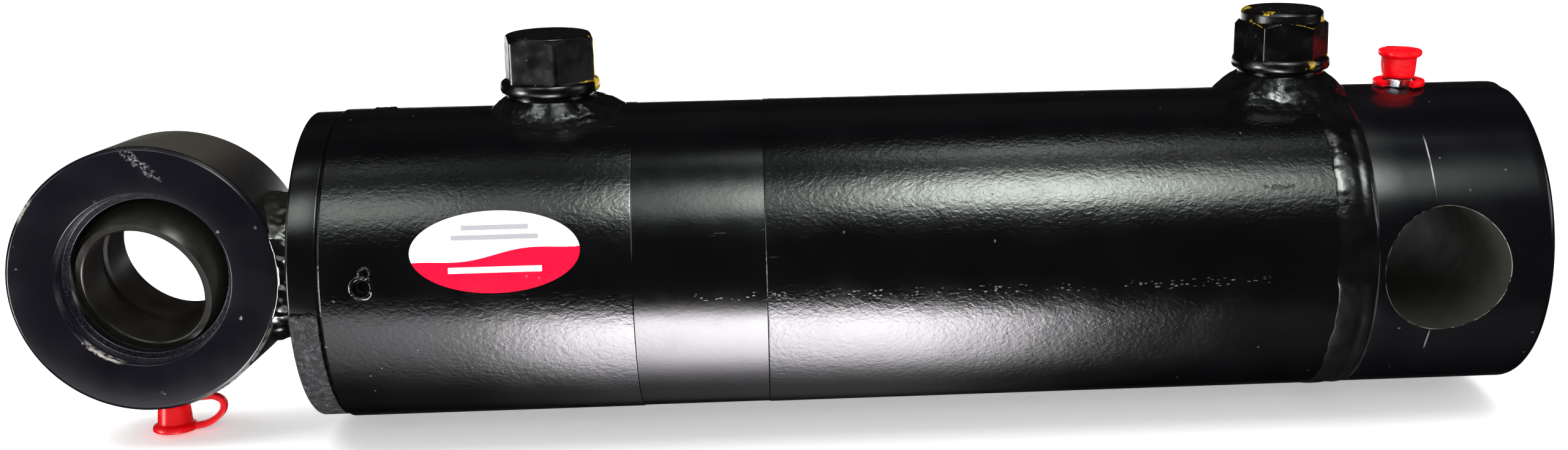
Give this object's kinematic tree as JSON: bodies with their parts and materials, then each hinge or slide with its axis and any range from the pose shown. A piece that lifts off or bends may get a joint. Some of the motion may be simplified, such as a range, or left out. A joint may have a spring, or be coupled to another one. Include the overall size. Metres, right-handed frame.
{
  "type": "hydraulic cylinder",
  "caption": "Short double-acting hydraulic cylinder with a solid pinned base, a rod eye with a spherical plain bearing, side ports and grease nipples, fully retracted.",
  "frame": {"origin": "centre of the cross bore in the closed base end, on the cylinder's axis", "axes": "+X along the cylinder's axis towards its closed end, the rod leaves towards -X; Y along both pin bores at the base; +Z towards the oil ports"},
  "size_m": [0.4848, 0.1026, 0.1316],
  "materials": {
    "black_paint": "semi-gloss black enamel with an orange-peel texture",
    "black_paint_smooth": "semi-gloss black enamel over turned steel",
    "eye_paint": "semi-gloss black enamel over a sawn and turned face",
    "painted_weld": "glossy black enamel over a lumpy weld",
    "lock_screw_steel": "painted-over black steel",
    "wiper_polyurethane": "matte black polyurethane",
    "seal_polyurethane": "matte blue polyurethane",
    "guide_ring_resin": "brown resin-bonded fabric",
    "nitrile_rubber": "matte black nitrile",
    "backup_ring_ptfe": "white PTFE",
    "label_film": "glossy printed film, white over red",
    "zinc_plated_steel": "bright zinc plate",
    "red_plastic": "glossy red polyethylene",
    "plug_plastic": "yellow plastic sprayed over with black enamel",
    "chromed_rod": "hard chrome, ground and polished",
    "machined_steel": "turned steel",
    "nut_steel": "black-oxide steel",
    "bearing_steel": "dark phosphated bearing steel",
    "spring_steel": "phosphated spring steel"
  },
  "bodies": {
    "barrel": {"cylinder_tube": "black_paint", "base_end_block": "black_paint_smooth", "base_weld_bead": "painted_weld", "rod_side_port_boss": "painted_weld", "base_side_port_boss": "painted_weld", "rod_side_port_weld": "painted_weld", "base_side_port_weld": "painted_weld", "gland": "black_paint_smooth", "gland_lock_screws": "lock_screw_steel", "rod_wiper": "wiper_polyurethane", "rod_seal": "seal_polyurethane", "rod_guide_rings": "guide_ring_resin", "gland_o_ring": "nitrile_rubber", "gland_backup_ring": "backup_ring_ptfe", "oval_label": "label_film", "base_grease_nipple": "zinc_plated_steel", "base_cap_clip": "red_plastic", "base_cap_strap": "red_plastic"},
    "rod_side_plug": {"rod_side_port_plug": "plug_plastic"},
    "base_side_plug": {"base_side_port_plug": "plug_plastic"},
    "base_cap": {"base_grease_cap": "red_plastic"},
    "piston_rings": {"piston_seal": "seal_polyurethane", "piston_guide_ring_front": "guide_ring_resin", "piston_guide_ring_rear": "guide_ring_resin"},
    "rod": {"piston_rod": "chromed_rod", "piston": "machined_steel", "piston_o_ring": "nitrile_rubber", "piston_nut": "nut_steel", "rod_eye": "eye_paint", "rod_eye_weld": "painted_weld", "bearing_outer_ring": "bearing_steel", "bearing_retaining_ring": "spring_steel", "eye_grease_nipple": "zinc_plated_steel", "eye_cap_clip": "red_plastic", "eye_cap_strap": "red_plastic"},
    "ball_ring": {"bearing_inner_ring": "bearing_steel"},
    "eye_cap": {"eye_grease_cap": "red_plastic"}
  },
  "joints": [
    {"name": "rod_slide", "type": "slide", "parent": "barrel", "child": "piston_rings", "axis": [-1, 0, 0], "range_m": [0, 0.2]},
    {"name": "rod_spin", "type": "hinge", "parent": "piston_rings", "child": "rod", "pos_m": [0, 0, 0], "axis": [1, 0, 0], "continuous": true},
    {"name": "bearing_tilt", "type": "hinge", "parent": "rod", "child": "ball_ring", "pos_m": [-0.408, 0, 0], "axis": [0.8524, -0.0423, -0.5212], "range_deg": [-40, 6]},
    {"name": "rod_side_plug_pull", "type": "slide", "parent": "barrel", "child": "rod_side_plug", "axis": [0, 0, 1], "range_m": [0, 0.03]},
    {"name": "base_side_plug_pull", "type": "slide", "parent": "barrel", "child": "base_side_plug", "axis": [0, 0, 1], "range_m": [0, 0.03]},
    {"name": "base_cap_pull", "type": "slide", "parent": "barrel", "child": "base_cap", "axis": [0, 0, 1], "range_m": [0, 0.014]},
    {"name": "eye_cap_pull", "type": "slide", "parent": "rod", "child": "eye_cap", "axis": [0, -0.0809, -0.9967], "range_m": [0, 0.014]}
  ]
}
